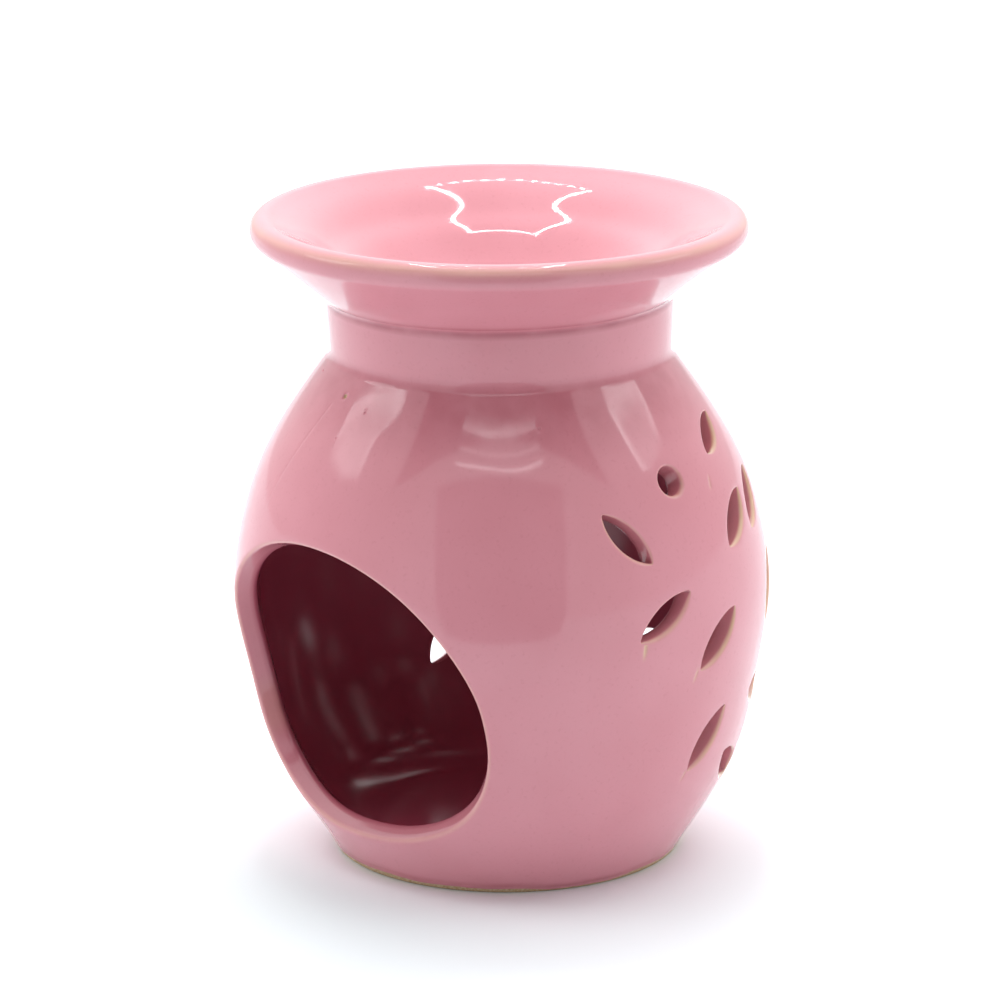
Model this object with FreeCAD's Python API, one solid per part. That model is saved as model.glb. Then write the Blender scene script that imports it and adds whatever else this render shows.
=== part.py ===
import FreeCAD, Part

# A tea-light wax burner in glazed ceramic: a slip-cast vessel with one large window and a scatter
# of cut vents, and an open dish that is luted on top of the vessel's neck.
#
# Millimetres, +Z up. The origin is the centre of the flat foot, on the plane that it stands on.
# The window faces -Y. An azimuth is in degrees round the axis, from -Y towards +X.

import math
import os

V = FreeCAD.Vector
AXIS_BASE, AXIS_UP = V(0, 0, 0), V(0, 0, 1)

# ---- driving dimensions ----
HEIGHT = 115.0              # foot to the top of the dish's lip
WALL = 4.1                  # thickness of the cast wall, measured square to it
SEAT_Z = 100.7              # where the dish's underside meets the neck's rim

# The vessel's outer wall: its radius at a few heights, from the foot up to the shoulder.
SWELL = [
    (0.0, 30.7), (10.0, 37.2), (20.0, 42.5), (30.0, 45.1), (40.0, 47.0),
    (48.0, 47.75), (60.0, 46.2), (70.0, 43.1), (80.0, 37.6), (89.6, 30.8),
]
NECK_FOOT_R, NECK_FOOT_Z = 30.2, 91.2
NECK_RIM_R = 30.7
NECK_BORE_R = 26.3

FLOOR_Z = 5.0               # top of the chamber's floor
FLOOR_R = 24.0              # flat part of the floor, inside the curve that runs up into the wall
FOOT_BEVEL = 0.7            # wiped, unglazed edge of the flat foot

DISH_LIP_R = 2.48           # half the thickness of the rounded lip
DISH_LIP_CENTRE_R = 41.4
DISH_BELLY_Z = 94.0         # lowest point of the dish, inside the neck
DISH_FLOOR_Z = 98.2         # bottom of the well
DISH_WELL_SLOPE = 35.0      # degrees, the well's side above the horizontal
DISH_WELL_BEND = 24.0       # radius of the bend from the side into the bottom

WINDOW_MID_Z = 36.2
WINDOW_HALF_WIDTH = 31.3    # seen square on, from -Y
WINDOW_HALF_HEIGHT = 26.8
WINDOW_ROUNDNESS_TOP = 2.0  # 2 is an ellipse, and more is fuller at the corners
WINDOW_ROUNDNESS_BOTTOM = 2.5
WINDOW_POINTS = 48

# Leaf vents: azimuth, height, lean of the leaf from the horizontal, length, width.
RIGHT_LEAVES = [
    (76.0, 66.4, -49.0, 12.4, 4.1),
    (83.7, 52.4, 32.0, 13.2, 4.2),
    (99.5, 45.8, 45.0, 13.2, 4.8),
    (100.1, 26.9, 52.0, 13.4, 4.6),
    (112.6, 64.8, 42.0, 12.4, 5.0),
    (117.4, 78.6, 34.0, 10.6, 4.0),
    (117.4, 18.4, -38.0, 12.4, 5.0),
    (125.4, 66.0, 52.0, 12.2, 5.0),
    (129.5, 49.5, 68.0, 13.4, 5.0),
    (128.4, 30.8, -8.0, 12.6, 5.4),
]
BACK_LEAVES = [
    (151.0, 70.5, 40.0, 12.6, 4.8),
    (152.5, 45.0, 55.0, 13.6, 5.0),
    (158.0, 22.5, -35.0, 12.6, 5.0),
    (171.5, 58.0, 42.0, 13.2, 5.0),
    (178.5, 75.5, -40.0, 11.6, 4.4),
    (181.0, 42.0, -30.0, 13.0, 5.0),
    (189.0, 25.6, -25.0, 13.0, 5.0),
    (196.5, 62.5, 120.0, 13.2, 5.0),
]
HOLE = (92.1, 74.2, 5.2)     # the round vent: azimuth, height, diameter
LEFT_TURN, LEFT_DROP = 18.0, 1.8  # how the left side's mirrored scatter sits further round and lower


def vec(radius, height):
    return V(radius, 0, height)


def outward(azimuth):
    """The level direction out from the axis at an azimuth."""
    angle = math.radians(azimuth)
    return V(math.sin(angle), -math.cos(angle), 0)


def spline(points):
    curve = Part.BSplineCurve()
    curve.interpolate(points)
    return curve


def wall_spline():
    return spline([vec(radius, height) for height, radius in SWELL])


def at_height(curve, height):
    """The curve's parameter where it passes a height. The curve climbs all the way."""
    low, high = curve.FirstParameter, curve.LastParameter
    for _ in range(50):
        middle = (low + high) / 2
        if curve.value(middle).z < height:
            low = middle
        else:
            high = middle
    return low


def wall_at(curve, height):
    """The wall's radius at a height, and the rise of its outward normal, as a slope."""
    parameter = at_height(curve, height)
    along = curve.tangent(parameter)[0]
    return curve.value(parameter).x, -along.x / along.z


def inner_spline(curve):
    """The wall's inside from just above the floor to just under the neck, square to the outside."""
    steps = 14
    low, high = at_height(curve, FLOOR_Z + 4.5), at_height(curve, 84.0)
    points = []
    for i in range(steps + 1):
        parameter = low + (high - low) * i / steps
        along = curve.tangent(parameter)[0]
        points.append(curve.value(parameter) + V(-along.z, 0, along.x) * WALL)
    return spline(points)


def turned(edges):
    """A solid of revolution about Z from the edges of a closed outline in the XZ plane."""
    face = Part.Face(Part.Wire(Part.__sortEdges__(edges)))
    return face.revolve(AXIS_BASE, AXIS_UP, 360)


def line(start, end):
    return Part.LineSegment(start, end).toShape()


def bend(start, end, centre_side, radius):
    """An arc from start to end whose middle bulges by its sagitta towards centre_side's far side."""
    middle, chord = (start + end) / 2, (end - start).Length
    sagitta = radius - math.sqrt(radius ** 2 - (chord / 2) ** 2)
    away = (middle - centre_side).normalize()
    return Part.Arc(start, middle + away * sagitta, end).toShape()


def vessel():
    """Foot, chamber wall, shoulder and neck in one piece, before the window and vents are cut."""
    outside = wall_spline()
    foot = at_height(outside, FOOT_BEVEL)
    outside.segment(foot, outside.LastParameter)
    inside = inner_spline(wall_spline())
    foot_edge, shoulder = outside.value(outside.FirstParameter), outside.value(outside.LastParameter)
    floor_end, throat = inside.value(inside.FirstParameter), inside.value(inside.LastParameter)
    neck_foot = vec(NECK_FOOT_R, NECK_FOOT_Z)
    throat_top = vec(NECK_BORE_R, throat.z + 6.0)
    floor_middle = vec(0, FLOOR_Z)
    floor_turn = vec(FLOOR_R, FLOOR_Z)
    foot_turn = vec(foot_edge.x - FOOT_BEVEL, 0)
    edges = [
        outside.toShape(),
        bend(shoulder, neck_foot, vec(NECK_FOOT_R + 5, NECK_FOOT_Z), 3.0),
        line(neck_foot, vec(NECK_RIM_R, SEAT_Z)),
        line(vec(NECK_RIM_R, SEAT_Z), vec(NECK_BORE_R, SEAT_Z)),
        line(vec(NECK_BORE_R, SEAT_Z), throat_top),
        bend(throat_top, throat, vec(NECK_BORE_R + 12, throat_top.z), 9.0),
        inside.toShape(),
        bend(floor_end, floor_turn, vec(0, 40), 14.0),
        line(floor_turn, floor_middle),
        line(floor_middle, AXIS_BASE),
        line(AXIS_BASE, foot_turn),
        line(foot_turn, foot_edge),
    ]
    return turned(edges)


def window_cutter():
    """A flared plug whose sides stand square to the wall all round the window's outline."""
    outside = wall_spline()
    near, far = [], []
    for i in range(WINDOW_POINTS):
        turn = 2 * math.pi * i / WINDOW_POINTS
        across, up = math.cos(turn), math.sin(turn)
        power = 2 / (WINDOW_ROUNDNESS_TOP if up > 0 else WINDOW_ROUNDNESS_BOTTOM)
        x = WINDOW_HALF_WIDTH * math.copysign(abs(across) ** power, across)
        height = WINDOW_MID_Z + WINDOW_HALF_HEIGHT * math.copysign(abs(up) ** power, up)
        radius, rise = wall_at(outside, height)
        azimuth = math.degrees(math.asin(x / radius))
        on_wall = outward(azimuth) * radius + V(0, 0, height)
        square = outward(azimuth) + V(0, 0, rise)
        for plane_y, points in ((-58.0, near), (-21.0, far)):
            points.append(on_wall + square * ((plane_y - on_wall.y) / square.y))
    wires = []
    for points in (near, far):
        curve = Part.BSplineCurve()
        curve.interpolate(points, PeriodicFlag=True)
        wires.append(Part.Wire(curve.toShape()))
    return Part.makeLoft(wires, True, True)


def vent_frame(outside, azimuth, height, lean):
    """Where a vent sits on the wall: its centre, the way out, and the two ways across it."""
    radius, rise = wall_at(outside, height)
    centre = outward(azimuth) * radius + V(0, 0, height)
    out = (outward(azimuth) + V(0, 0, rise)).normalize()
    level = AXIS_UP.cross(outward(azimuth)).normalize()
    climb = out.cross(level)
    angle = math.radians(lean)
    along = level * math.cos(angle) + climb * math.sin(angle)
    return centre, out, along, out.cross(along)


def leaf_cutter(outside, azimuth, height, lean, length, width):
    """A pointed leaf: two arcs that meet at sharp tips, cut square through the wall."""
    centre, out, along, across = vent_frame(outside, azimuth, height, lean)
    start = centre + out * 3
    tips = start - along * (length / 2), start + along * (length / 2)
    sides = [
        Part.Arc(tips[0], start + across * (side * width / 2), tips[1]).toShape()
        for side in (1, -1)
    ]
    return Part.Face(Part.Wire(sides)).extrude(out * -(WALL + 6))


def hole_cutter(outside, azimuth, height, diameter):
    centre, out, _, _ = vent_frame(outside, azimuth, height, 0)
    return Part.makeCylinder(diameter / 2, WALL + 6, centre + out * 3, out * -1)


def left_side(azimuth, height):
    """Where the left side repeats a place on the right: mirrored, turned further round and dropped."""
    return -azimuth - LEFT_TURN, height - LEFT_DROP


def left_leaves():
    return [
        (*left_side(azimuth, height), 180 - lean, length, width)
        for azimuth, height, lean, length, width in RIGHT_LEAVES
    ]


def burner_body():
    outside = wall_spline()
    cutters = [window_cutter()]
    for leaf in RIGHT_LEAVES + BACK_LEAVES + left_leaves():
        cutters.append(leaf_cutter(outside, *leaf))
    azimuth, height, diameter = HOLE
    for place in ((azimuth, height), left_side(azimuth, height)):
        cutters.append(hole_cutter(outside, *place, diameter))
    return vessel().cut(cutters)


def wax_dish():
    """A round-lipped dish. Its belly hangs in the neck, and its underside rests on the neck's rim."""
    lip = vec(DISH_LIP_CENTRE_R, HEIGHT - DISH_LIP_R)
    seat = vec(NECK_RIM_R, SEAT_Z)
    to_lip = lip - seat
    under_angle = math.atan2(to_lip.z, to_lip.x) - math.asin(DISH_LIP_R / to_lip.Length)
    well_angle = math.radians(DISH_WELL_SLOPE)
    under_touch = lip + V(math.sin(under_angle), 0, -math.cos(under_angle)) * DISH_LIP_R
    well_touch = lip + V(-math.sin(well_angle), 0, math.cos(well_angle)) * DISH_LIP_R
    lip_angle = (under_angle + well_angle) / 2
    lip_crest = lip + V(math.cos(lip_angle), 0, math.sin(lip_angle)) * DISH_LIP_R

    corner = vec(well_touch.x - (well_touch.z - DISH_FLOOR_Z) / math.tan(well_angle), DISH_FLOOR_Z)
    tangent = DISH_WELL_BEND * math.tan(well_angle / 2)
    bend_top = corner + V(math.cos(well_angle), 0, math.sin(well_angle)) * tangent
    bend_foot = corner - V(tangent, 0, 0)
    bend_centre = bend_foot + V(0, 0, DISH_WELL_BEND)

    belly = vec(0, DISH_BELLY_Z)
    bore = vec(NECK_BORE_R, SEAT_Z)
    sag = SEAT_Z - DISH_BELLY_Z
    belly_r = (NECK_BORE_R ** 2 + sag ** 2) / (2 * sag)
    edges = [
        line(seat, under_touch),
        Part.Arc(under_touch, lip_crest, well_touch).toShape(),
        line(well_touch, bend_top),
        bend(bend_top, bend_foot, bend_centre, DISH_WELL_BEND),
        line(bend_foot, vec(0, DISH_FLOOR_Z)),
        line(vec(0, DISH_FLOOR_Z), belly),
        bend(belly, bore, vec(0, DISH_BELLY_Z + belly_r), belly_r),
        line(bore, seat),
    ]
    return turned(edges)


def report(name, shape):
    box = shape.optimalBoundingBox()
    print(
        f"{name}: valid {shape.isValid()}, solids {len(shape.Solids)}, volume {shape.Volume:.0f},"
        f" x {box.XMin:.2f}..{box.XMax:.2f}, y {box.YMin:.2f}..{box.YMax:.2f},"
        f" z {box.ZMin:.2f}..{box.ZMax:.2f}"
    )


def main():
    os.makedirs("parts", exist_ok=True)
    for name, build in (("burner_body", burner_body), ("wax_dish", wax_dish)):
        shape = build()
        report(name, shape)
        shape.exportStep(f"parts/{name}.step")


main()
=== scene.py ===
# A tea-light wax burner in pink glazed ceramic, as it looks: the cast wall with glazed-over cuts, knife
# nicks and pinholes, and the thick-lipped dish that is luted to its neck.
#
# Lengths are millimetres until a mesh is made, and +Z is up. An azimuth is measured round the axis from
# -Y, where the window is, towards +X. The sizes are the part's own, so each piece fills its CAD node.

import math

import bpy
import numpy as np
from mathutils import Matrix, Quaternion, Vector
from mathutils.geometry import delaunay_2d_cdt


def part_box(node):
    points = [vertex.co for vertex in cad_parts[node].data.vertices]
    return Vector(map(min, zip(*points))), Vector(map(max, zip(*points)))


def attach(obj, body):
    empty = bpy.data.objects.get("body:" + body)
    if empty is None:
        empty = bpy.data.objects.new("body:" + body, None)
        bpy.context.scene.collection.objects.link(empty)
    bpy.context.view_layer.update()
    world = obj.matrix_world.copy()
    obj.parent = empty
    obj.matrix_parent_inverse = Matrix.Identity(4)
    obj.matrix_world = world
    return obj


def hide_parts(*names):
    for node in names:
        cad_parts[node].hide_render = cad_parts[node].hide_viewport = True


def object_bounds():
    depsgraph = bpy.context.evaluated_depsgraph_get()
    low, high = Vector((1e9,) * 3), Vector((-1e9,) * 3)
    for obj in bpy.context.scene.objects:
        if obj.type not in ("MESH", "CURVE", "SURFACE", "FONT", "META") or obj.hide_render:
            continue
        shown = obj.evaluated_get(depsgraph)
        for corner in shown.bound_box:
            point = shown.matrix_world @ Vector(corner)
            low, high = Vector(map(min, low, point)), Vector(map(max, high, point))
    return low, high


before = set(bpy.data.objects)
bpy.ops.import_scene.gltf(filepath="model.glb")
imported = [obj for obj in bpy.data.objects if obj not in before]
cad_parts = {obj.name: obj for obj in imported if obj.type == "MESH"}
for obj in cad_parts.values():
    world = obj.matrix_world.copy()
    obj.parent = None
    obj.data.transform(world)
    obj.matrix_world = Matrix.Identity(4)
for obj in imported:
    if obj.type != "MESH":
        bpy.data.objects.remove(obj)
CAD_LOW, CAD_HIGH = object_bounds()

MM = 0.001
HEIGHT = CAD_HIGH.z / MM
SEAT_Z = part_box("burner_body")[1].z / MM
BELLY_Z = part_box("wax_dish")[0].z / MM

# ---- the vessel ----
WALL = 4.1
SWELL = [
    (0.0, 30.7), (10.0, 37.2), (20.0, 42.5), (30.0, 45.1), (40.0, 47.0),
    (48.0, 47.75), (60.0, 46.2), (70.0, 43.1), (80.0, 37.6), (89.6, 30.8),
]
NECK_FOOT = (30.2, 91.2)
NECK_RIM_R, NECK_BORE_R = 30.7, 26.3
NECK_BEND_R = 3.0
FLOOR_Z, FLOOR_R, FLOOR_BEND_R = 5.0, 24.0, 14.0
THROAT_BEND_R = 9.0
INSIDE_LOW_Z, INSIDE_HIGH_Z = 9.5, 84.0   # the wall is even between these heights of its outside
GLAZE_LINE_Z = 0.8                        # below it the foot was wiped bare

# ---- the dish ----
LIP_R, LIP_CENTRE_R = 2.48, 41.4
WELL_SLOPES = [                           # radius, and how steeply the inside falls there, in degrees
    (0.0, 0.0), (8.0, 0.0), (11.0, 4.0), (13.5, 24.0), (16.0, 38.0), (20.0, 39.5), (26.0, 39.0),
    (29.0, 30.5), (30.8, 37.0), (33.0, 36.5), (37.0, 26.0), (40.3, 27.0),
]
SEAM_FILLET_R = 1.5                       # slip and glaze in the corner between neck and dish

# ---- cuts: azimuth, height, lean, length, width ----
WINDOW_MID_Z, WINDOW_HALF_WIDTH, WINDOW_HALF_HEIGHT = 36.2, 31.3, 26.8
WINDOW_ROUNDNESS_TOP, WINDOW_ROUNDNESS_BOTTOM = 2.0, 2.5
RIGHT_LEAVES = [
    (76.0, 66.4, -49.0, 12.4, 4.1),
    (83.7, 52.4, 32.0, 13.2, 4.2),
    (99.5, 45.8, 45.0, 13.2, 4.8),
    (100.1, 26.9, 52.0, 13.4, 4.6),
    (112.6, 64.8, 42.0, 12.4, 5.0),
    (117.4, 78.6, 34.0, 10.6, 4.0),
    (117.4, 18.4, -38.0, 12.4, 5.0),
    (125.4, 66.0, 52.0, 12.2, 5.0),
    (129.5, 49.5, 68.0, 13.4, 5.0),
    (128.4, 30.8, -8.0, 12.6, 5.4),
]
BACK_LEAVES = [
    (151.0, 70.5, 40.0, 12.6, 4.8),
    (152.5, 45.0, 55.0, 13.6, 5.0),
    (158.0, 22.5, -35.0, 12.6, 5.0),
    (171.5, 58.0, 42.0, 13.2, 5.0),
    (178.5, 75.5, -40.0, 11.6, 4.4),
    (181.0, 42.0, -30.0, 13.0, 5.0),
    (189.0, 25.6, -25.0, 13.0, 5.0),
    (196.5, 62.5, 120.0, 13.2, 5.0),
]
HOLE = (92.1, 74.2, 5.2)
LEFT_TURN, LEFT_DROP = 18.0, 1.8

# ---- traces of the making: azimuth, height and size of each ----
PINHOLES = [
    (-8.3, 86.7, 1.25, 0.42),
    (-31.5, 88.2, 0.6, 0.16),
    (3.5, 85.2, 0.5, 0.12),
    (-3.0, 80.5, 0.45, 0.1),
    (58.0, 84.6, 0.5, 0.1),
    (141.0, 57.0, 0.55, 0.12),
    (-80.0, 71.0, 0.6, 0.14),
    (205.0, 82.0, 0.55, 0.12),
]
KNIFE_NICKS = [                           # from azimuth, height to azimuth, height; depth, paleness
    (78.1, 48.8, 77.5, 44.9, 0.16, 1.0),
    (105.6, 71.3, 107.0, 73.4, 0.10, 0.3),
    (92.6, 41.0, 91.6, 38.6, 0.09, 0.5),
    (93.9, 21.6, 92.6, 19.4, 0.10, 0.4),
    (167.0, 54.0, 165.4, 51.6, 0.10, 0.5),
    (-108.0, 62.5, -110.0, 60.2, 0.10, 0.5),
    (-12.5, 85.0, -24.0, 59.2, 0.035, 0.0),
]

COLUMNS = 240
GRID = 1.18
FLAT_R = 45.0                             # radius at which the wall is laid flat for its triangles
SEAM = math.radians(-65.0)                # no cut crosses this azimuth
SHEET_LOW_Z, SHEET_HIGH_Z = 5.0, 89.4     # heights of the outside between which the cuts lie
FINE_FROM_Z = 85.6                        # rows lie closer above this, where the wall bends to the neck
TIP_R = 0.3

# The vessel leans a little from its foot, and the dish sits off centre on it, both along this azimuth.
LEAN_AZIMUTH = math.radians(137.0)
THIN_AZIMUTH = math.radians(128.0)        # where the glaze ran thinnest over the edges of the cuts
FOOT_SHIFT, DISH_SHIFT, DISH_TILT = 0.8, -0.15, 0.3


# ======== curves ========

def natural_spline(knots):
    """A smooth curve through (x, y) knots, as a function of x."""
    xs, ys = np.array(knots, float).T
    count, step = len(xs), np.diff(xs)
    rows, right = np.eye(count), np.zeros(count)
    for i in range(1, count - 1):
        rows[i, i - 1:i + 2] = step[i - 1], 2 * (step[i - 1] + step[i]), step[i]
        right[i] = 6 * ((ys[i + 1] - ys[i]) / step[i] - (ys[i] - ys[i - 1]) / step[i - 1])
    bend = np.linalg.solve(rows, right)

    def value(x):
        i = np.clip(np.searchsorted(xs, x) - 1, 0, count - 2)
        after, before, h = x - xs[i], xs[i + 1] - x, step[i]
        cubic = (bend[i] * before ** 3 + bend[i + 1] * after ** 3) / (6 * h)
        return cubic + (ys[i] / h - bend[i] * h / 6) * before + (ys[i + 1] / h - bend[i + 1] * h / 6) * after

    return value


def arc(start, end, radius, towards, steps):
    """Points of an arc whose centre lies on the side of a given point."""
    start, end, towards = np.array(start, float), np.array(end, float), np.array(towards, float)
    middle, chord = (start + end) / 2, end - start
    across = np.array([-chord[1], chord[0]]) / np.linalg.norm(chord)
    if across @ (towards - middle) < 0:
        across = -across
    centre = middle + across * math.sqrt(radius ** 2 - (chord @ chord) / 4)
    first, last = (math.atan2(*(p - centre)[::-1]) for p in (start, end))
    turn = (last - first + math.pi) % (2 * math.pi) - math.pi
    angles = first + turn * np.linspace(0, 1, steps + 1)
    return centre + radius * np.stack([np.cos(angles), np.sin(angles)], 1)


def lengths(points):
    """Distance along a line of points, from its start."""
    return np.concatenate([[0], np.cumsum(np.linalg.norm(np.diff(points, axis=0), axis=1))])


def along_line(points, distance):
    travelled = lengths(points)
    return np.stack([np.interp(distance, travelled, points[:, k]) for k in (0, 1)], -1)


def spaced(points, spacing):
    """The same line with evenly spaced points."""
    total = lengths(points)[-1]
    return along_line(points, np.linspace(0, total, max(2, round(total / spacing) + 1)))


def smooth(value):
    value = np.clip(value, 0, 1)
    return value * value * (3 - 2 * value)


# ======== the wall, outside and inside ========

wall_radius = natural_spline(SWELL)
heights = np.linspace(0, SWELL[-1][0], 1793)
outside = np.stack([wall_radius(heights), heights], 1)
outside_along = lengths(outside)
rise = np.gradient(outside, outside_along, axis=0)
outside_normal = np.stack([rise[:, 1], -rise[:, 0]], 1)
outside_normal /= np.linalg.norm(outside_normal, axis=1, keepdims=True)


def along_at(height):
    return np.interp(height, heights, outside_along)


def on_outside(along):
    return along_line(outside, along)


def outward_at(along):
    return np.stack([np.interp(along, outside_along, outside_normal[:, k]) for k in (0, 1)], -1)


EVEN_LOW, EVEN_HIGH = along_at(INSIDE_LOW_Z), along_at(INSIDE_HIGH_Z)
even = np.linspace(EVEN_LOW, EVEN_HIGH, 400)
even_inside = on_outside(even) - outward_at(even) * WALL
throat_top = (NECK_BORE_R, even_inside[-1, 1] + 6.0)
floor_side = arc((FLOOR_R, FLOOR_Z), even_inside[0], FLOOR_BEND_R, (0, 40), 40)
throat = arc(even_inside[-1], throat_top, THROAT_BEND_R, (NECK_BORE_R + 12, throat_top[1]), 24)
below = np.concatenate([[(0, FLOOR_Z)], floor_side])
above = np.concatenate([throat, [(NECK_BORE_R, SEAT_Z)]])


def on_inside(along):
    """The inside of the wall behind each place on the outside."""
    inner = on_outside(along) - outward_at(along) * WALL
    low, high = along < EVEN_LOW, along > EVEN_HIGH
    inner[low] = along_line(below, lengths(below)[-1] - (EVEN_LOW - along[low]))
    inner[high] = along_line(above, along[high] - EVEN_HIGH)
    return inner


def round_axis(azimuth, profile):
    """Points at an azimuth in radians, from (radius, height)."""
    radius, height = profile[..., 0], profile[..., 1]
    return np.stack([radius * np.sin(azimuth), -radius * np.cos(azimuth), height], -1)


def ripple(points, wavelength, seed, waves=9):
    """A soft random field between about -1 and 1, made of a few plane waves."""
    random = np.random.default_rng(seed)
    directions = random.normal(size=(waves, 3))
    directions *= 2 * math.pi / wavelength / np.linalg.norm(directions, axis=1, keepdims=True)
    directions *= random.uniform(0.7, 1.3, (waves, 1))
    phases = random.uniform(0, 2 * math.pi, waves)
    return np.sin(points @ directions.T + phases).sum(1) / math.sqrt(waves)


def settle(points):
    """Moves points by what throwing, luting and firing left uneven."""
    x, y, z = points.T
    lean = np.array([math.sin(LEAN_AZIMUTH), -math.cos(LEAN_AZIMUTH)])
    side = x * lean[0] + y * lean[1]
    shift = FOOT_SHIFT * (1 - smooth(z / 46)) + DISH_SHIFT * smooth((z - 92) / 12)
    joint = smooth((z - 90) / 9) * (1 - smooth((z - 102) / 10))
    lift = DISH_TILT * side / NECK_RIM_R * joint
    radius = np.maximum(np.hypot(x, y), 1e-6)
    uneven = 0.07 * ripple(points, 36, 11) + 0.016 * ripple(points, 13, 12) - 0.10
    uneven *= smooth(z / 6) * smooth(radius / 12)
    return np.stack([x + shift * lean[0] + uneven * x / radius,
                     y + shift * lean[1] + uneven * y / radius, z + lift], 1)


def turned_from(azimuth, degrees):
    """The turn from an azimuth in degrees, the short way round."""
    return (azimuth - math.radians(degrees) + math.pi) % (2 * math.pi) - math.pi


def relief(azimuth, along):
    """How far the outside stands proud at each place, and how bare and how thinly glazed it is."""
    proud, bare, thin = np.zeros((3, len(along)))
    for at, z, width, depth in PINHOLES:
        apart = np.hypot(turned_from(azimuth, at) * wall_radius(z), along - along_at(z)) / (width / 2)
        proud -= depth * np.exp(-(apart ** 2) * 1.6)
        proud += 0.12 * depth * np.exp(-((apart - 1.6) / 0.45) ** 2)
        bare = np.maximum(bare, smooth((1.05 - apart) / 0.5) * min(1, depth / 0.3))
    for at, z, end_at, end_z, depth, pale in KNIFE_NICKS:
        radius = wall_radius((z + end_z) / 2)
        run = np.array([math.radians(end_at - at) * radius, along_at(end_z) - along_at(z)])
        place = np.stack([turned_from(azimuth, at) * radius, along - along_at(z)], 1)
        part = np.clip(place @ run / (run @ run), 0, 1)
        apart = np.linalg.norm(place - part[:, None] * run, axis=1)
        fade = smooth((1 - part) / 0.6)
        proud += depth * fade * (0.25 * np.exp(-((apart - 0.6) / 0.25) ** 2) - np.exp(-(apart / 0.28) ** 2))
        thin = np.maximum(thin, pale * fade * np.exp(-(apart / 0.34) ** 2))
    return proud, bare, thin


# ======== outlines of the cuts, on the wall ========

def window_outline():
    turn = np.linspace(0, 2 * math.pi, 2401)
    across, up = np.cos(turn), np.sin(turn)
    power = 2 / np.where(up > 0, WINDOW_ROUNDNESS_TOP, WINDOW_ROUNDNESS_BOTTOM)
    x = WINDOW_HALF_WIDTH * np.sign(across) * np.abs(across) ** power
    z = WINDOW_MID_Z + WINDOW_HALF_HEIGHT * np.sign(up) * np.abs(up) ** power
    place = np.stack([np.arcsin(x / wall_radius(z)) * FLAT_R, along_at(z)], 1)
    place = spaced(place, 0.72)[:-1]
    radius = on_outside(place[:, 1])[:, 0]
    step = np.roll(place, -1, 0) - np.roll(place, 1, 0)
    normal = np.stack([step[:, 1], -step[:, 0] * radius / FLAT_R], 1)
    normal /= np.linalg.norm(normal, axis=1, keepdims=True)
    return place[:, 0] / FLAT_R, place[:, 1], normal, 0.85 - 0.15 * normal[:, 1]


def placed(azimuth, height, lean, points, normal, fullness):
    """Puts a flat outline on the wall at a place, turned by its lean.

    Glaze rounds the lower side of a cut more than its upper side."""
    c, s = math.cos(math.radians(lean)), math.sin(math.radians(lean))
    turn = np.array([[c, s], [-s, c]])
    points, normal = points @ turn, normal @ turn
    radius = wall_radius(height)
    around = math.radians(azimuth) + np.arcsin(points[:, 0] / radius)
    return around, along_at(height) + points[:, 1], normal, fullness * (0.72 - 0.28 * normal[:, 1])


def leaf_outline(azimuth, height, lean, length, width):
    """Two arcs that meet at tips with a small radius."""
    half, bulge = length / 2 - TIP_R, width / 2 - TIP_R
    radius = (half ** 2 + bulge ** 2) / (2 * bulge)
    reach = math.asin(half / radius)
    sweep = np.linspace(reach, -reach, round(length / 0.56))
    side = np.stack([np.sin(sweep), np.cos(sweep)], 1)
    side_points = side * radius - [0, radius - bulge]
    fan = np.linspace(math.pi / 2 + reach, 1.5 * math.pi - reach, 7)[1:-1]
    tip_normal = np.stack([np.cos(fan), np.sin(fan)], 1)
    tip_points = np.tile([-half, 0.0], (len(fan), 1))
    normal = np.concatenate([side, tip_normal, -side, -tip_normal])
    points = np.concatenate([side_points, tip_points, -side_points, -tip_points]) + normal * TIP_R
    fullness = 1 - 0.62 * np.clip(np.abs(points[:, 0]) / (half + TIP_R), 0, 1) ** 5
    return placed(azimuth, height, lean, points, normal, fullness)


def hole_outline(azimuth, height, diameter):
    turn = np.linspace(0, 2 * math.pi, 33)[:-1]
    normal = np.stack([np.cos(turn), np.sin(turn)], 1)
    return placed(azimuth, height, 0, normal * diameter / 2, normal, 1.0)


def cuts():
    """Every cut as (outline, whether it is the window)."""
    leaves = RIGHT_LEAVES + BACK_LEAVES
    for leaf_azimuth, leaf_height, lean, length, width in RIGHT_LEAVES:
        leaves.append((-leaf_azimuth - LEFT_TURN, leaf_height - LEFT_DROP, 180 - lean, length, width))
    azimuth, height, diameter = HOLE
    found = [(window_outline(), True)]
    found += [(leaf_outline(*leaf), False) for leaf in leaves]
    found += [(hole_outline(azimuth, height, diameter), False)]
    found += [(hole_outline(-azimuth - LEFT_TURN, height - LEFT_DROP, diameter), False)]
    return found


# ======== mesh building ========

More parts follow.
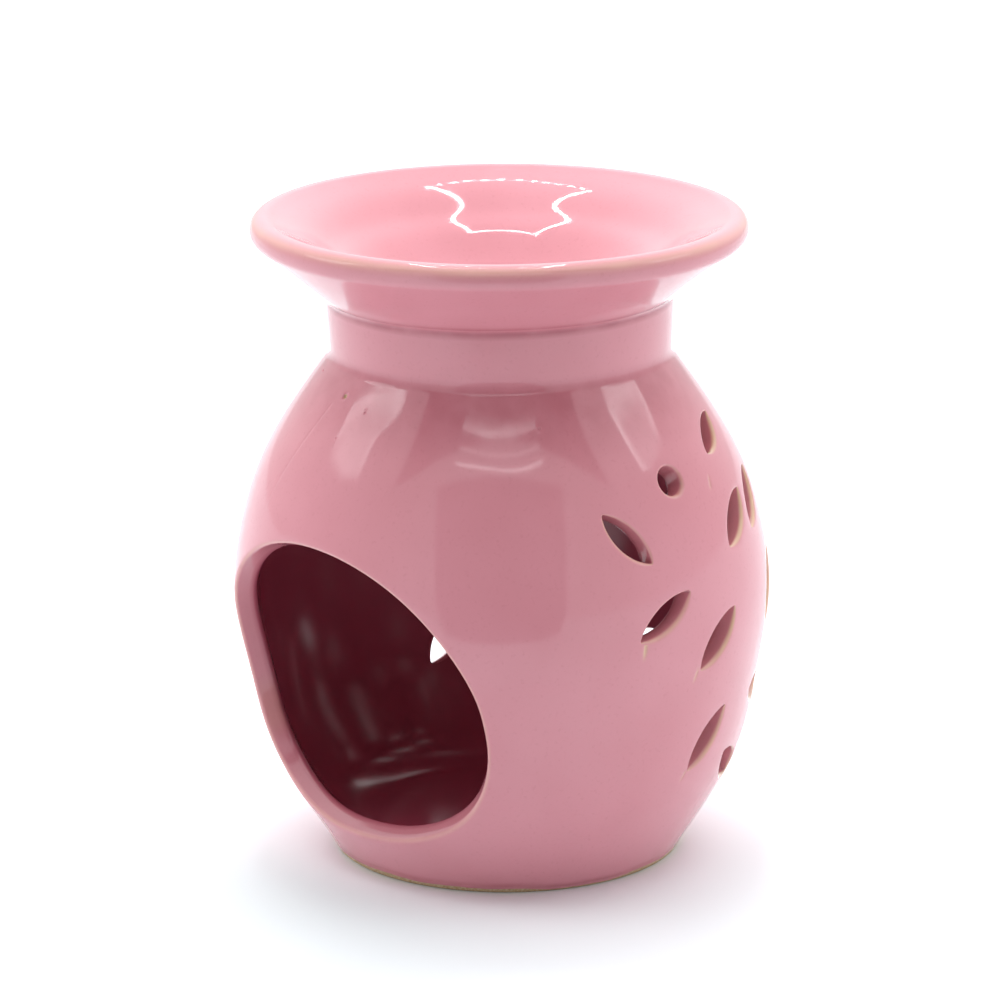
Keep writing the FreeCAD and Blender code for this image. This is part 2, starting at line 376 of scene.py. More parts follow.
class Piece:
    """Gathers a piece's points, their marks, and its faces."""

    def __init__(self):
        self.points, self.marks, self.faces, self.count = [], [], [], 0

    # The pool mark darkens the glaze: pooled glaze in the bead at the foot, and painted shade under the dish,
    # round the neck's foot and in the corner between neck and dish.
    def add(self, points, thin=0.0, bare=0.0, pool=0.0, inside=0.0):
        """Adds points and returns their numbers. A mark is one number, or one for each point."""
        size = len(points)
        self.points.append(np.asarray(points, float))
        self.marks.append(np.stack([np.broadcast_to(mark, size) for mark in (thin, bare, pool, inside)], 1))
        self.count += size
        return np.arange(self.count - size, self.count)

    def band(self, lower, upper):
        """Joins two closed rings. Seen from the outer side, lower runs to the right with upper above it."""
        after_lower, after_upper = np.roll(lower, -1), np.roll(upper, -1)
        self.faces.append(np.stack([lower, after_lower, after_upper], 1))
        self.faces.append(np.stack([lower, after_upper, upper], 1))

    def cap(self, ring, centre):
        self.faces.append(np.stack([ring, np.roll(ring, -1), np.full(len(ring), centre)], 1))

    def build(self, name, material):
        used, faces = np.unique(np.concatenate(self.faces), return_inverse=True)
        points = settle(np.concatenate(self.points)[used]) * MM
        mesh = bpy.data.meshes.new(name)
        mesh.from_pydata(points.tolist(), [], faces.reshape(-1, 3).tolist())
        marks = np.concatenate(self.marks)[used]
        for k, mark in enumerate(("thin", "bare", "pool", "inside")):
            layer = mesh.attributes.new(mark, "FLOAT", "POINT")
            layer.data.foreach_set("value", np.ascontiguousarray(marks[:, k], np.float32))
        mesh.materials.append(material)
        mesh.shade_smooth()
        mesh.set_sharp_from_angle(angle=math.radians(48))
        mesh.validate()
        piece = bpy.data.objects.new(name, mesh)
        bpy.context.scene.collection.objects.link(piece)
        return piece


COLUMN_TURNS = SEAM + np.linspace(0, 2 * math.pi, COLUMNS + 1)


def ring(piece, radius, height, **marks):
    profile = np.broadcast_to(np.array([radius, height], float), (COLUMNS, 2))
    return piece.add(round_axis(COLUMN_TURNS[:-1], profile), **marks)


def inside_polygon(points, polygon):
    x, y = points.T
    inside = np.zeros(len(points), bool)
    for (x0, y0), (x1, y1) in zip(polygon, np.roll(polygon, -1, 0)):
        crosses = (y0 > y) != (y1 > y)
        inside[crosses] ^= x[crosses] < (x1 - x0) * (y[crosses] - y0) / (y1 - y0) + x0
    return inside


def offset_outline(outline, distance):
    """The outline moved out along the wall."""
    azimuth, along, normal, _ = outline
    radius = on_outside(along)[:, 0]
    return azimuth + normal[:, 0] * distance / radius, along + normal[:, 1] * distance


def fine_points():
    """Extra points where the wall has small marks."""
    found = []
    for at, z, width, _ in PINHOLES:
        centre = np.array([math.radians(at) * FLAT_R, along_at(z)])
        squeeze = FLAT_R / wall_radius(z)
        found.append(centre[None])
        for share, number in ((0.18, 6), (0.36, 9), (0.56, 12), (0.8, 14), (1.15, 16)):
            turn = 2 * math.pi * (np.arange(number) + 0.5 * (number % 2)) / number
            circle = np.stack([np.cos(turn) * squeeze, np.sin(turn)], 1)
            found.append(centre + circle * width * share)
    for at, z, end_at, end_z, _, _ in KNIFE_NICKS:
        start = np.array([math.radians(at) * FLAT_R, along_at(z)])
        end = np.array([math.radians(end_at) * FLAT_R, along_at(end_z)])
        run = (end - start) / np.linalg.norm(end - start)
        across = np.array([-run[1], run[0]])
        steps = np.arange(0, np.linalg.norm(end - start) + 0.3, 0.3)
        for shift in (-0.62, -0.36, -0.16, 0, 0.16, 0.36, 0.62):
            found.append(start + steps[:, None] * run + across * shift)
    return np.concatenate(found)


def lay_out(rings):
    """Triangles of the flattened wall with its cuts left out.

    Returns each point's azimuth and distance up the wall, the triangles, and the numbers of each cut's
    ring, of the bottom row and of the top row."""
    width = 2 * math.pi * FLAT_R
    low, high, fine_from = along_at(SHEET_LOW_Z), along_at(SHEET_HIGH_Z), along_at(FINE_FROM_Z)
    rows = np.concatenate([np.linspace(low, fine_from, round((fine_from - low) / GRID), endpoint=False),
                           np.linspace(fine_from, high, 8)])
    left = SEAM * FLAT_R
    columns = left + np.linspace(0, width, COLUMNS + 1)
    grid = np.stack(np.meshgrid(columns, rows), -1)
    edge = np.concatenate([grid[0], grid[-1], grid[1:-1, 0], grid[1:-1, -1]])
    middle = grid[1:-1, 1:-1].reshape(-1, 2)
    fine = fine_points()
    fine[:, 0] = (fine[:, 0] - left) % width + left
    flat_rings = []
    for azimuth, along in rings:
        turns = (azimuth.mean() - SEAM) // (2 * math.pi)
        flat_rings.append(np.stack([(azimuth - turns * 2 * math.pi) * FLAT_R, along], 1))
    keep, keep_fine = np.ones(len(middle), bool), np.ones(len(fine), bool)
    for points, kept, gap in ((middle, keep, 0.62), (fine, keep_fine, 0.12)):
        for loop in flat_rings:
            near = np.all((points > loop.min(0) - GRID) & (points < loop.max(0) + GRID), axis=1)
            candidates = points[near]
            apart = np.linalg.norm(candidates[:, None] - loop[None], axis=2).min(1)
            kept[near] &= (apart > gap) & ~inside_polygon(candidates, loop)
    fine = fine[keep_fine & (fine[:, 1] > low + 0.3) & (fine[:, 1] < high - 0.3)]
    for point in fine:
        keep &= np.abs(middle - point).max(1) > 0.34
    parts = [edge, middle[keep], fine, *flat_rings]
    points = np.concatenate(parts)
    starts = np.cumsum([0] + [len(part) for part in parts])
    constraints = []
    for loop, start in zip(flat_rings, starts[3:]):
        numbers = start + np.arange(len(loop))
        constraints += np.stack([numbers, np.roll(numbers, -1)], 1).tolist()
    found = delaunay_2d_cdt([Vector(p) for p in points.tolist()], constraints, [], 0, 1e-7)
    made, triangles, origins = found[0], np.array(found[2]), found[3]
    new_number = np.full(len(points), -1)
    for number, origin in enumerate(origins):
        for source in origin:
            new_number[source] = number
    flat = np.array([tuple(p) for p in made])
    loop_of = np.full(len(flat), -1)
    loops = []
    for k, (loop, start) in enumerate(zip(flat_rings, starts[3:])):
        numbers = new_number[start:start + len(loop)]
        loop_of[numbers] = k
        loops.append(numbers)
    kinds = loop_of[triangles]
    in_cut = (kinds[:, 0] >= 0) & (kinds[:, 0] == kinds[:, 1]) & (kinds[:, 1] == kinds[:, 2])
    triangles = triangles[~in_cut]
    across = COLUMNS + 1
    bottom, top = new_number[:across], new_number[across:2 * across]
    side = len(rows) - 2
    left_side = new_number[2 * across:2 * across + side]
    right_side = new_number[2 * across + side:2 * across + 2 * side]
    joined = np.arange(len(flat))
    joined[right_side] = left_side
    joined[bottom[-1]], joined[top[-1]] = bottom[0], top[0]
    return flat[:, 0] / FLAT_R, flat[:, 1], joined[triangles], loops, bottom[:-1], top[:-1]


def shell_points(azimuth, along, depth):
    """Points between the outside (depth 0) and the inside (depth WALL) of the wall."""
    share = np.broadcast_to(depth / WALL, along.shape)[:, None]
    outer, inner = on_outside(along), on_inside(along)
    proud = relief(azimuth, along)[0]
    proud = proud * smooth(1 - share[:, 0] * WALL / 0.8)
    profile = outer + (inner - outer) * share + outward_at(along) * proud[:, None]
    return round_axis(azimuth, profile)


ROUND_STEPS = np.radians([0, 14, 28, 41, 53, 65, 78, 90])
INNER_ROUND_R = 0.8
WORN_Z = 24.5                             # height of a worn patch on the window's left side


def add_jamb(piece, outline, is_window, outer_loop, inner_loop):
    """The rounded outer edge, the cut face and the rounded inner edge of one cut.

    The glaze is thin on the crest of the outer edge; painted shade darkens the face towards the inside of the
    wall."""
    azimuth, along, normal, radius = outline
    steps = [(radius * (1 - math.sin(angle)), radius * (1 - math.cos(angle)), angle)
             for angle in ROUND_STEPS[1:]]
    far = WALL - INNER_ROUND_R
    steps += [(0 * radius, radius + (far - radius) * share, math.pi / 2) for share in (0.35, 0.7)]
    steps += [(INNER_ROUND_R * (1 - math.sin(angle)) + 0 * radius,
               WALL - INNER_ROUND_R * (1 - math.cos(angle)) + 0 * radius, math.pi - angle)
              for angle in ROUND_STEPS[::-1][:-1:2]]
    worn = np.zeros(len(radius))
    rim_thin = 0.5 + 0.5 * smooth((np.cos(azimuth - THIN_AZIMUTH) - 0.80) / 0.15)
    rim_thin = rim_thin * (0.8 - 0.3 * normal[:, 1])
    # Painted shade on the cut's face: darker on the window's face, and darker still towards the inside of the
    # wall.
    face_shade = 0.12
    if is_window:
        height = on_outside(along)[:, 1]
        worn = 0.22 * smooth(1.2 - np.abs(height - WORN_Z) / 6) * smooth(-normal[:, 0] * 2 - 0.6)
        rim_thin, face_shade = 0.3, 0.4
    before = outer_loop
    for distance, depth, angle in steps:
        crest = math.exp(-((math.degrees(angle) - 48) / 26) ** 2)
        on_face = smooth((math.degrees(angle) - 60) / 30) * smooth((150 - math.degrees(angle)) / 40)
        inside = smooth((math.degrees(angle) - 35) / 55)
        deep_shade = 0.5 * smooth((depth - 2.4) / 1.7)
        ring_numbers = piece.add(shell_points(*offset_outline(outline, distance), depth),
                                 thin=np.maximum(rim_thin * crest, worn * on_face),
                                 inside=face_shade * inside + deep_shade)
        piece.band(before, ring_numbers)
        before = ring_numbers
    piece.band(before, inner_loop)


def profile_rings(piece, profile, first, marks=lambda radius, height: {}):
    """Rings down a profile after a first ring that exists. Returns the last ring."""
    before = first
    for radius, height in profile:
        made = ring(piece, radius, height, **marks(radius, height))
        piece.band(made, before)
        before = made
    return before


def vessel(material):
    piece = Piece()
    found = cuts()
    outlines = [outline for outline, _ in found]
    outer_rings = [offset_outline(outline, outline[3]) for outline in outlines]
    azimuth, along, triangles, loops, bottom, top = lay_out(outer_rings)

    _, bare, thin = relief(azimuth, along)
    # Painted shade under the dish: the shoulder darkens towards the neck, where the dish overhangs it.
    pool = 0.5 * smooth((on_outside(along)[:, 1] - 77) / 11)
    outer = piece.add(shell_points(azimuth, along, 0.0), thin=thin, bare=0.8 * bare, pool=pool)
    # The chamber's inner wall takes the painted shade of the inside mark.
    inner = piece.add(shell_points(azimuth, along, WALL), inside=1.0)
    piece.faces.append(outer[triangles])
    piece.faces.append(inner[triangles][:, ::-1])
    for (outline, is_window), loop in zip(found, loops):
        add_jamb(piece, outline, is_window, outer[loop], inner[loop])

    add_foot(piece, outer[bottom])
    neck = add_neck(piece, outer[top])
    add_chamber_ends(piece, inner[bottom], inner[top], neck)
    return piece.build("glazed_vessel", material)


def add_foot(piece, first):
    """From the wall's lowest ring down over the wiped edge and under the flat base."""
    azimuth = COLUMN_TURNS[:-1]
    wander = 0.25 * np.sin(3 * azimuth + 1.0) + 0.15 * np.sin(7 * azimuth + 2.2) + 0.1 * np.sin(16 * azimuth)

    def marks(radius, height):
        return {"bare": smooth((GLAZE_LINE_Z + wander - height) / 0.3 + 0.5),
                "pool": 0.5 * np.exp(-((height - 1.5 - wander) / 0.5) ** 2)}

    def bead(height):
        return wall_radius(height) + 0.1 * math.exp(-((height - 1.25) / 0.4) ** 2)

    side = [(bead(z), z) for z in (4.0, 3.1, 2.4, 1.9, 1.6, 1.35, 1.1, 0.9, 0.75)]
    edge = wall_radius(0.75)
    turn_under = arc((edge, 0.7), (edge - 0.75, 0.0), 0.9, (edge - 5, 3), 5)[1:]
    before = profile_rings(piece, side + turn_under.tolist(), first, marks)
    flat = np.linspace(turn_under[-1][0], 0, 9)[1:-1]
    before = profile_rings(piece, [(radius, 0.0) for radius in flat], before, lambda r, z: {"bare": 1.0})
    centre = piece.add([(0, 0, 0)], bare=1.0)
    piece.cap(before[::-1], centre[0])


def under_dish():
    """How steeply the dish's underside climbs from the neck to touch the round of the lip."""
    to_lip = np.array([LIP_CENTRE_R - NECK_RIM_R, HEIGHT - LIP_R - SEAT_Z])
    return math.atan2(to_lip[1], to_lip[0]) - math.asin(LIP_R / np.linalg.norm(to_lip))


def add_neck(piece, first):
    """Shoulder corner, neck, and the filled corner under the dish. Returns the ring at the neck's bore."""
    angle = under_dish()
    neck_angle = math.atan2(SEAT_Z - NECK_FOOT[1], NECK_RIM_R - NECK_FOOT[0])
    tangent = SEAM_FILLET_R * math.tan((neck_angle - angle) / 2)
    corner = np.array([NECK_RIM_R, SEAT_Z])
    fillet_foot = corner - tangent * np.array([math.cos(neck_angle), math.sin(neck_angle)])
    fillet_top = corner + tangent * np.array([math.cos(angle), math.sin(angle)])
    wall_top, beside_foot = SWELL[-1][::-1], (NECK_FOOT[0] + 5, NECK_FOOT[1])
    shoulder_turn = arc(wall_top, NECK_FOOT, NECK_BEND_R, beside_foot, 6)
    neck_side = spaced(np.array([NECK_FOOT, fillet_foot]), 0.9)[1:]
    fillet = arc(fillet_foot, fillet_top, SEAM_FILLET_R, (NECK_RIM_R + 5, SEAT_Z - 2), 10)[1:]
    lower = np.concatenate([shoulder_turn, neck_side, fillet])

    # Painted shade in the corner under the dish and round the neck's foot.
    def marks(radius, height):
        corner_shade = 0.9 * math.exp(-((height - 100.35) / 0.55) ** 2)
        neck_foot_shade = 0.5 * smooth((92.5 - height) / 2.5)
        return {"pool": min(1.0, corner_shade + neck_foot_shade)}

    before = first
    for radius, height in lower:
        made = ring(piece, radius, height, **marks(radius, height))
        piece.band(before, made)
        before = made
    for radius in (NECK_RIM_R, NECK_BORE_R):
        made = ring(piece, radius, SEAT_Z)
        piece.band(before, made)
        before = made
    return before


def add_chamber_ends(piece, low_ring, high_ring, bore_ring):
    """The throat up to the neck's bore, and the floor."""
    # The throat and the floor take the painted shade of the inside mark too.
    low_done = EVEN_LOW - along_at(SHEET_LOW_Z)
    high_done = along_at(SHEET_HIGH_Z) - EVEN_HIGH
    rest_above = along_line(above, np.linspace(high_done, lengths(above)[-1], 12)[1:-1])
    before = profile_rings(piece, rest_above, high_ring, lambda radius, height: {"inside": 1.0})
    piece.band(bore_ring, before)
    rest_below = along_line(below, np.linspace(lengths(below)[-1] - low_done, 0, 26)[1:-1])
    before = low_ring
    for radius, height in rest_below:
        made = ring(piece, radius, height, inside=1.0)
        piece.band(before, made)
        before = made
    centre = piece.add([(0, 0, FLOOR_Z)], inside=1.0)
    piece.cap(before, centre[0])


def well_profile(start):
    """Radius and height from the lip down to the middle of the well, by adding up its slopes."""
    slope = natural_spline(WELL_SLOPES)
    radius = np.linspace(start[0], 0.0, 61)
    fall = np.tan(np.radians(slope((radius[1:] + radius[:-1]) / 2))) * -np.diff(radius)
    return np.stack([radius, start[1] - np.concatenate([[0], np.cumsum(fall)])], 1)


def dish(material):
    """A round-lipped dish: underside, lip, well, and the belly that hangs in the neck."""
    piece = Piece()
    angle = under_dish()
    lip = np.array([LIP_CENTRE_R, HEIGHT - LIP_R])
    under_touch = lip + LIP_R * np.array([math.sin(angle), -math.cos(angle)])
    well_turn = math.radians(WELL_SLOPES[-1][1])
    around = np.linspace(angle - math.pi / 2, math.pi / 2 + well_turn, 26)
    lip_round = lip + LIP_R * np.stack([np.cos(around), np.sin(around)], 1)
    well_side = well_profile(lip_round[-1])
    underside = spaced(np.array([(NECK_RIM_R, SEAT_Z), under_touch]), 1.0)

    # The mark near the neck is painted shade in the corner between the neck and the dish's underside.
    def marks(radius, height):
        turn = math.degrees(math.atan2(height - lip[1], radius - lip[0]))
        on_lip = radius > LIP_CENTRE_R - 0.5
        near_neck = radius > 30
        return {"thin": 0.38 * math.exp(-((turn - 40) / 22) ** 2) if on_lip else 0.0,
                "pool": 0.8 * math.exp(-((height - 101.0) / 0.7) ** 2) if near_neck else 0.0}

    before = ring(piece, NECK_RIM_R, SEAT_Z)
    seat_ring = before
    for radius, height in np.concatenate([underside[1:], lip_round[1:], well_side[1:-1]]):
        made = ring(piece, radius, height, **marks(radius, height))
        piece.band(before, made)
        before = made
    centre = piece.add([(0, 0, well_side[-1][1])])
    piece.cap(before, centre[0])

    sag = SEAT_Z - BELLY_Z
    belly_r = (NECK_BORE_R ** 2 + sag ** 2) / (2 * sag)
    belly = arc((NECK_BORE_R, SEAT_Z), (0, BELLY_Z), belly_r, (0, BELLY_Z + belly_r), 14)[:-1]
    before = profile_rings(piece, belly, seat_ring)
    bottom = piece.add([(0, 0, BELLY_Z)])
    piece.cap(before[::-1], bottom[0])
    return piece.build("glazed_dish", material)


# ======== materials ========

class Nodes:
    """Short ways to make and join the nodes of one material."""

    def __init__(self, name):
        self.material = bpy.data.materials.new(name)
        self.material.use_nodes = True
        self.tree = self.material.node_tree
        self.shader = self.tree.nodes["Principled BSDF"]
        self.place = self.new("ShaderNodeTexCoord").outputs["Object"]

    def new(self, kind, **settings):
        node = self.tree.nodes.new(kind)
        for key, value in settings.items():
            setattr(node, key, value)
        return node

    def put(self, socket, value):
        if isinstance(value, bpy.types.NodeSocket):
            self.tree.links.new(value, socket)
        else:
            socket.default_value = value

    def noise(self, size, detail=2.0, roughness=0.5):
        """Noise whose features are about this many millimetres across."""
        node = self.new("ShaderNodeTexNoise")
        self.put(node.inputs["Vector"], self.place)
        node.inputs["Scale"].default_value = 1 / (size * MM)
        node.inputs["Detail"].default_value = detail
        node.inputs["Roughness"].default_value = roughness
        return node.outputs["Fac"]

    def mark(self, name):
        return self.new("ShaderNodeAttribute", attribute_name=name).outputs["Fac"]

    def math(self, operation, a, b):
        node = self.new("ShaderNodeMath", operation=operation)
        self.put(node.inputs[0], a)
        self.put(node.inputs[1], b)
        return node.outputs[0]

    def ranged(self, value, low, high, to_low=0.0, to_high=1.0):
        node = self.new("ShaderNodeMapRange", interpolation_type="SMOOTHSTEP")
        for key, number in (("Value", value), ("From Min", low), ("From Max", high),
                            ("To Min", to_low), ("To Max", to_high)):
            self.put(node.inputs[key], number)
        return node.outputs["Result"]

    def mix(self, share, a, b):
        node = self.new("ShaderNodeMix", data_type="RGBA")
        self.put(node.inputs["Factor"], share)
        colour_inputs = [s for s in node.inputs if s.type == "RGBA"]
        self.put(colour_inputs[0], a)
        self.put(colour_inputs[1], b)
        return [s for s in node.outputs if s.type == "RGBA"][0]


def rgb(red, green, blue):
    return (red, green, blue, 1.0)


PINK, PALE, DEEP = rgb(0.67, 0.262, 0.308), rgb(0.70, 0.285, 0.335), rgb(0.42, 0.10, 0.135)
# The dark wine colour below is painted shade, for the chamber's inside and the inner part of each cut's face.
SHADED_WINE, CREAM = rgb(0.40, 0.072, 0.115), rgb(0.72, 0.47, 0.31)


def glaze(name, low_gloss):
    """Glossy pink glaze over pale clay: thin and creamy on edges, deeper where it pooled at the foot, with
    painted shade under the dish, in the corners at the neck, inside the chamber and on the faces of the cuts.
    """
    n = Nodes(name)
    colour = n.mix(n.ranged(n.noise(22, 2), 0.3, 0.7), PINK, PALE)
    colour = n.mix(n.ranged(n.noise(0.7, 2), 0.55, 0.8, 0.0, 0.12), colour, DEEP)
    # Painted shade under the dish and in the neck's corners, and pooled glaze at the foot.
    pool = n.math("MULTIPLY", n.mark("pool"), n.ranged(n.noise(6, 2), 0.2, 0.7, 0.55, 1.0))
    colour = n.mix(pool, colour, DEEP)
    # Painted shade: the chamber's inside and the cut faces are coloured dark wine.
    colour = n.mix(n.mark("inside"), colour, SHADED_WINE)
    thin = n.math("MULTIPLY", n.mark("thin"), n.ranged(n.noise(8, 2), 0.3, 0.7, 0.75, 1.15))
    colour = n.mix(thin, colour, CREAM)
    clay = n.mix(n.ranged(n.noise(0.5, 4), 0.3, 0.7), rgb(0.46, 0.30, 0.15), rgb(0.62, 0.47, 0.30))
    bare = n.ranged(n.math("ADD", n.mark("bare"), n.ranged(n.noise(1.5, 3), 0.2, 0.8, -0.2, 0.2)), 0.35, 0.75)
    colour = n.mix(bare, colour, clay)
    n.put(n.shader.inputs["Base Color"], colour)

    gloss = n.ranged(n.noise(7, 4), 0.3, 0.75, low_gloss, low_gloss + 0.04)
    gloss = n.math("ADD", gloss, n.math("MULTIPLY", bare, 0.65))
    n.put(n.shader.inputs["Roughness"], n.math("ADD", gloss, n.math("MULTIPLY", n.mark("inside"), 0.09)))
    n.shader.inputs["IOR"].default_value = 1.5

    swell = n.new("ShaderNodeBump")
    swell.inputs["Strength"].default_value = 0.5
    swell.inputs["Distance"].default_value = 0.025 * MM
    n.put(swell.inputs["Height"], n.noise(4.5, 1))
    clay_grain = n.new("ShaderNodeBump")
    n.put(clay_grain.inputs["Strength"], n.math("MULTIPLY", bare, 0.8))
    clay_grain.inputs["Distance"].default_value = 0.12 * MM
    n.put(clay_grain.inputs["Height"], n.noise(0.45, 4, 0.65))
    n.put(clay_grain.inputs["Normal"], swell.outputs["Normal"])
    n.put(n.shader.inputs["Normal"], clay_grain.outputs["Normal"])
    return n.material


# ======== stage, lights and camera ========

VIEW_AZIMUTH, VIEW_ELEVATION = math.radians(47.0), math.radians(15.77)
VIEW_DISTANCE = 926.4
VIEW_TARGET_RIGHT, VIEW_TARGET_Z = -0.24, 57.9
AIM_ELEVATION, ROLL = math.radians(15.48), math.radians(-0.28)
LENS = 187.7
FLOOR_REACH = 6000.0
RING_LEFT, RING_RIGHT, RING_FRONT, RING_BACK, RING_Z = -78.0, 53.0, 29.0, 174.0, 410.0
RING_LAMP_R, RING_STRENGTH = 2.6, 75.0
CARD_AWAY, FOLD_AWAY = -300.0, -299.0     # the folds hang just in front of the cards
SIDE_LAMP_DISTANCE, SIDE_LAMP_FROM_Z = 1500.0, 80.0
TENT_FRONT, TENT_BACK, TENT_TOP = 0.88, 1.05, 1.12
TOP_LEAN = math.radians(68.0)             # the light overhead is this far above level, on the far side


def view_place(right, away, height):
    """A place given from the camera's side: millimetres to its right, away from it, and up."""
    to_right = np.array([math.cos(VIEW_AZIMUTH), math.sin(VIEW_AZIMUTH), 0])
    back = np.array([-math.sin(VIEW_AZIMUTH), math.cos(VIEW_AZIMUTH), 0])
    return to_right * right + back * away + np.array([0, 0, height])


def stage_mesh(name, points, faces, material):
    mesh = bpy.data.meshes.new(name)
    mesh.from_pydata((np.array(points) * MM).tolist(), [], faces)
    mesh.materials.append(material)
    thing = bpy.data.objects.new(name, mesh)
    bpy.context.scene.collection.objects.link(thing)
    return thing


def unseen(thing):
    thing.visible_camera = False
    return thing


def plain(name, colour, roughness):
    n = Nodes(name)
    tone = n.mix(n.ranged(n.noise(90, 2), 0.3, 0.7, 0.0, 0.03), colour, rgb(0.8, 0.8, 0.82))
    n.put(n.shader.inputs["Base Color"], tone)
    n.shader.inputs["Roughness"].default_value = roughness
    return n.material


def glowing(name, strength=None):
    """A lamp's face. Without a strength, the mark glow says how bright each place on it is."""
    n = Nodes(name)
    n.shader.inputs["Base Color"].default_value = rgb(0, 0, 0)
    n.shader.inputs["Emission Color"].default_value = rgb(1, 1, 1)
    n.put(n.shader.inputs["Emission Strength"], n.mark("glow") if strength is None else strength)
    return n.material


def soft_dark(name):
    """Black cloth that thins to nothing towards its edge, by the mark shade."""
    n = Nodes(name)
    n.shader.inputs["Base Color"].default_value = rgb(0.02, 0.02, 0.02)
    n.shader.inputs["Roughness"].default_value = 0.9
    n.put(n.shader.inputs["Alpha"], n.ranged(n.mark("shade"), 0.0, 1.0))
    return n.material


def floor():
    reach = FLOOR_REACH
    corners = [(-reach, -reach, 0), (reach, -reach, 0), (reach, reach, 0), (-reach, reach, 0)]
    stage_mesh("floor", corners, [(0, 1, 2, 3)], plain("pale_floor", rgb(0.90, 0.97, 1.0), 0.6))


def soft_edged(name, outline, edge_share, material, mark, edge_values, middle_value):
    """A flat card or lamp whose mark changes from its outline to a smaller copy of the outline."""
    outer = np.array(outline)
    inner = outer + (outer.mean(0) - outer) * edge_share
    count = len(outer)
    faces = [tuple(range(count, 2 * count))]
    faces += [(k, (k + 1) % count, (k + 1) % count + count, k + count) for k in range(count)]
    card = unseen(stage_mesh(name, np.concatenate([outer, inner]), faces, material))
    layer = card.data.attributes.new(mark, "FLOAT", "POINT")
    layer.data.foreach_set("value", list(edge_values) + [middle_value] * count)


def dark_card(name, outline, edge_share):
    places = [view_place(right, CARD_AWAY, height) for right, height in outline]
    soft_edged(name, places, edge_share, soft_dark(name + "_cloth"), "shade", [0.0] * len(places), 1.0)


def camera_side():
    """The dark opening that the camera looks in through, the dark above it, and bright folds round them."""
    half = [(80, 2), (128, 18), (158, 75), (162, 150), (190, 300), (206, 374)]
    dark_card("front_opening", half + [(-right, height) for right, height in half[::-1]], 0.09)
    dark_card("dark_above", [(-520, 448), (520, 448), (520, 800), (-520, 800)], 0.10)
    folds = [(378, 10, 5.0), (416, 8, 3.0), (460, 9, 7.0), (531, 3, 2.5)]
    for number, (height, width, strength) in enumerate(folds):
        edge = [(right, height * (1 + 0.10 * (right / 150) ** 2)) for right in range(-150, 151, 50)]
        points = [view_place(right, FOLD_AWAY, low + lift) for lift in (0, width) for right, low in edge]
        count = len(edge)
        faces = [(k, k + 1, k + 1 + count, k + count) for k in range(count - 1)]
        name = "fold_%d" % number
        unseen(stage_mesh(name, points, faces, glowing(name + "_glow", strength)))


def lamp_ring():
    """Small round lamps along the sides of a rectangle overhead."""
    places = [(x, RING_BACK) for x in np.linspace(RING_LEFT, RING_RIGHT, 13)]
    places += [(x, RING_FRONT) for x in np.linspace(RING_LEFT, RING_RIGHT, 19)]
    for side in (RING_LEFT, RING_RIGHT):
        places += [(side, y) for y in np.linspace(RING_FRONT, RING_BACK, 24)[1:-1]]
    points, faces = [], []
    turn = np.linspace(0, 2 * math.pi, 13)[:-1]
    around = RING_LAMP_R * np.stack([np.cos(turn), np.sin(turn)], 1)
    for place in places:
        faces.append(tuple(range(len(points), len(points) + len(turn)))[::-1])
        points += [view_place(x, y, RING_Z) for x, y in place + around]
    unseen(stage_mesh("lamp_ring", points, faces, glowing("lamp_glow", RING_STRENGTH)))


def toward(azimuth, elevation):
    """A far place in a direction from the shoulder, round from the camera's side to the right."""
    azimuth, elevation = math.radians(azimuth), math.radians(elevation)
    level = SIDE_LAMP_DISTANCE * math.cos(elevation)
    height = SIDE_LAMP_FROM_Z + SIDE_LAMP_DISTANCE * math.sin(elevation)
    return view_place(level * math.sin(azimuth), -level * math.cos(azimuth), height)


def side_lamp(name, outline, middle_glow):
    """A soft lamp on one side. Its outline is rows of azimuth, elevation and brightness at the edge."""
    places = [toward(azimuth, elevation) for azimuth, elevation, _ in outline]
    edge_glow = [glow for _, _, glow in outline]
    soft_edged(name, places, 0.35, glowing(name + "_glow"), "glow", edge_glow, middle_glow)


def side_lamps():
    right = [(82, 42.5, 8.0), (97, 37.5, 7.5), (108, 31.5, 5.5),
             (103, 28, 1.2), (91, 29, 1.2), (82, 31.5, 5.0)]
    left = [(-110, 29, 5.0), (-93, 38.5, 7.5), (-76, 44.5, 8.5), (-84, 38, 4.5),
            (-80, 30, 2.0), (-90, 25, 1.2), (-104, 24.5, 1.3)]
    side_lamp("right_lamp", right, 2.3)
    side_lamp("left_lamp", left, 3.2)


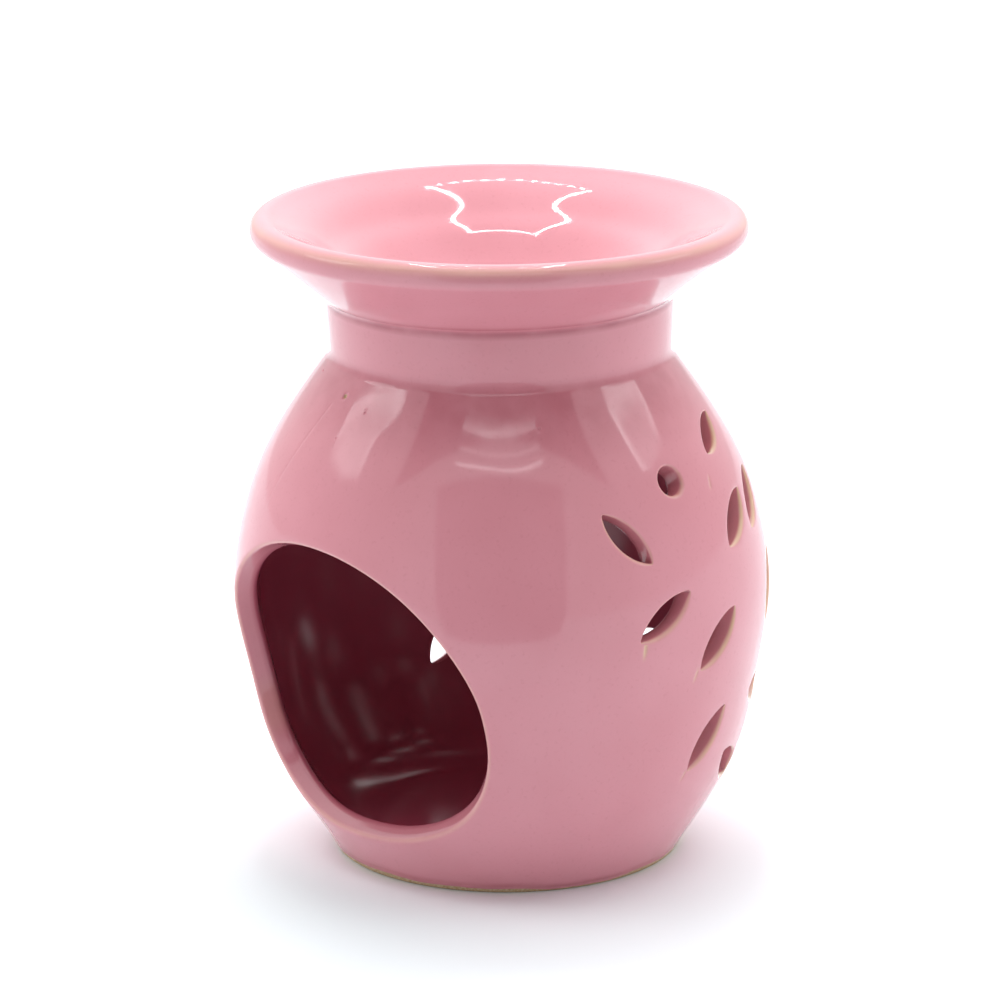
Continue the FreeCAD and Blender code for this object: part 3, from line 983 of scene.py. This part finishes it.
def surroundings():
    """A white tent, brighter behind the object and over it than in front of it."""
    world = bpy.data.worlds.new("tent")
    world.use_nodes = True
    tree = world.node_tree
    background = tree.nodes["Background"]
    background.inputs["Color"].default_value = rgb(1.0, 1.0, 1.0)
    direction = tree.nodes.new("ShaderNodeTexCoord").outputs["Generated"]
    total = tree.nodes.new("ShaderNodeMath")
    rises = [(0.0, 0.1, 0.95, TENT_FRONT, TENT_BACK), (TOP_LEAN, 0.3, 0.95, 0.0, TENT_TOP)]
    for socket, (lean, start, end, low, high) in zip(total.inputs, rises):
        toward_light = tree.nodes.new("ShaderNodeVectorMath")
        toward_light.operation = "DOT_PRODUCT"
        toward_light.inputs[1].default_value = (
            -math.sin(VIEW_AZIMUTH) * math.cos(lean), math.cos(VIEW_AZIMUTH) * math.cos(lean), math.sin(lean))
        tree.links.new(direction, toward_light.inputs[0])
        rise = tree.nodes.new("ShaderNodeMapRange")
        rise.interpolation_type = "SMOOTHSTEP"
        for key, number in (("From Min", start), ("From Max", end), ("To Min", low), ("To Max", high)):
            rise.inputs[key].default_value = number
        tree.links.new(toward_light.outputs["Value"], rise.inputs["Value"])
        tree.links.new(rise.outputs["Result"], socket)
    tree.links.new(total.outputs[0], background.inputs["Strength"])
    bpy.context.scene.world = world
    bpy.context.scene.view_settings.view_transform = "Standard"


def camera():
    data = bpy.data.cameras.new("camera")
    data.sensor_width = 36.0
    data.lens = LENS
    data.clip_start, data.clip_end = 0.05, 50.0
    eye = bpy.data.objects.new("camera", data)
    bpy.context.scene.collection.objects.link(eye)
    back = Vector((math.sin(VIEW_AZIMUTH) * math.cos(VIEW_ELEVATION),
                   -math.cos(VIEW_AZIMUTH) * math.cos(VIEW_ELEVATION), math.sin(VIEW_ELEVATION)))
    eye.location = (Vector(view_place(VIEW_TARGET_RIGHT, 0, VIEW_TARGET_Z)) + back * VIEW_DISTANCE) * MM
    aim = Vector((-math.sin(VIEW_AZIMUTH) * math.cos(AIM_ELEVATION),
                  math.cos(VIEW_AZIMUTH) * math.cos(AIM_ELEVATION), -math.sin(AIM_ELEVATION)))
    eye.rotation_mode = "QUATERNION"
    eye.rotation_quaternion = aim.to_track_quat("-Z", "Y") @ Quaternion((0, 0, 1), ROLL)
    bpy.context.scene.camera = eye


body = vessel(glaze("vessel_glaze", 0.06))
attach(body, "root")
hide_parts("burner_body")

top = dish(glaze("dish_glaze", 0.035))
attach(top, "root")
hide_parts("wax_dish")

floor()
camera_side()
lamp_ring()
side_lamps()
surroundings()
camera()
